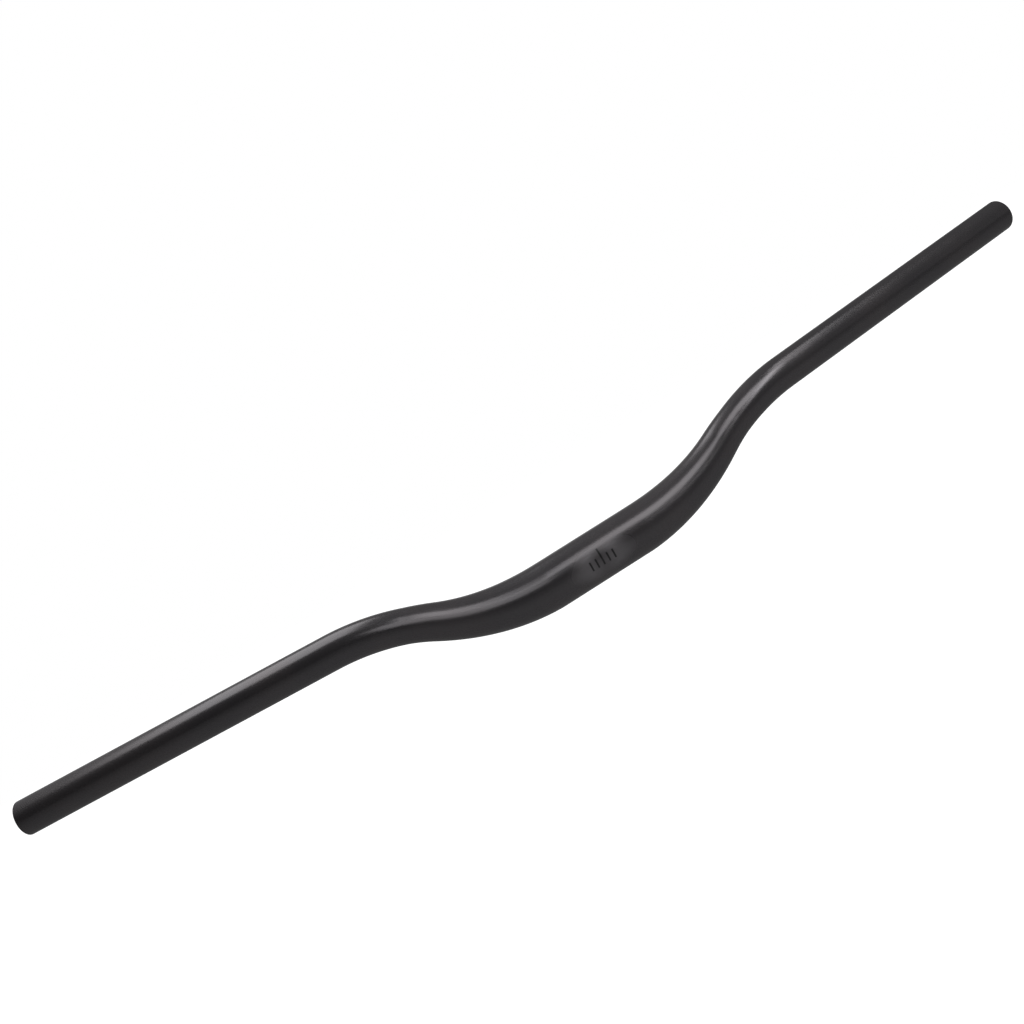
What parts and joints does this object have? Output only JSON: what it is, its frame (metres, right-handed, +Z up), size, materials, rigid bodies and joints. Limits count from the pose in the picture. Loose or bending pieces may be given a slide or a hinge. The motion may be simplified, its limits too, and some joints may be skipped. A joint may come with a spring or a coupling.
{
  "type": "bicycle handlebar",
  "caption": "Riser handlebar in one bent tube: thick straight middle for the stem, tapering through soft double bends to thinner swept grips, satin black.",
  "frame": {"origin": "centre of the middle, on the tube's axis, where the stem clamps", "axes": "+X along the bar to one side, the bicycle's front towards -Y, +Z up; the bar is the mirror image of itself across the YZ plane"},
  "size_m": [0.7534, 0.065, 0.0734],
  "materials": {
    "black_alloy": "satin"
  },
  "bodies": {
    "root": {"handlebar": "black_alloy"}
  },
  "joints": []
}
